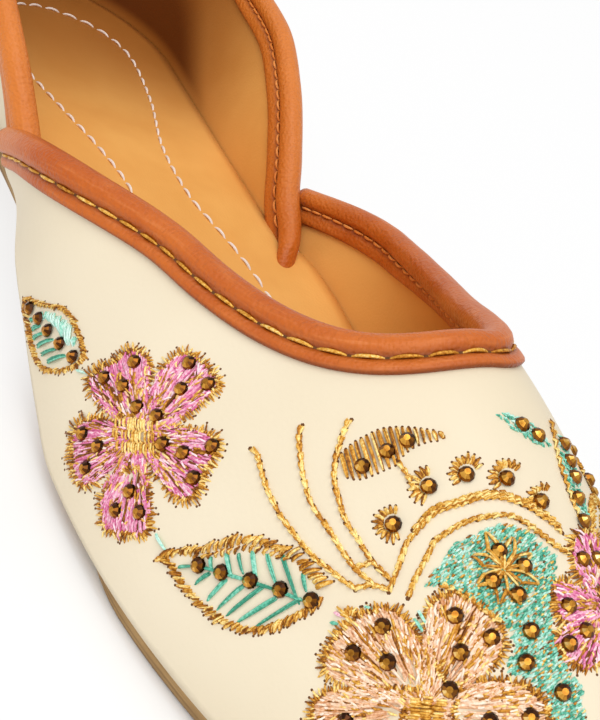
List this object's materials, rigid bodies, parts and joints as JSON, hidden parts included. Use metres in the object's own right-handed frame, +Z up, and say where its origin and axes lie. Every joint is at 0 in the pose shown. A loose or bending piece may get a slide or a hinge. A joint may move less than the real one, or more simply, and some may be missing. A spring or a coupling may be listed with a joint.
{
  "type": "slip-on shoe",
  "caption": "Flat embroidered leather slip-on with a pointed vamp, low separate quarter, folded edge binding, stitched insole and thin leather sole, for the right foot.",
  "frame": {"origin": "on the floor under the middle of the shoe's bounding box", "axes": "+X from heel to toe, +Y to the inner side of the foot, +Z up"},
  "size_m": [0.2452, 0.0792, 0.0537],
  "materials": {
    "cream_leather": "smooth satin",
    "tan_leather": "polished satin",
    "lining_leather": "matt",
    "sole_leather": "matt, cut edge",
    "gold_thread": "metallic gold embroidery thread and topstitching",
    "silk_thread": "glossy pink, peach, mint and white thread",
    "bronze_stone": "faceted bronze glass stones with foil backs"
  },
  "bodies": {
    "root": {"outsole": "sole_leather", "insole": "lining_leather", "vamp": "cream_leather", "quarter": "cream_leather", "vamp_binding": "tan_leather", "quarter_binding": "tan_leather"}
  },
  "joints": []
}
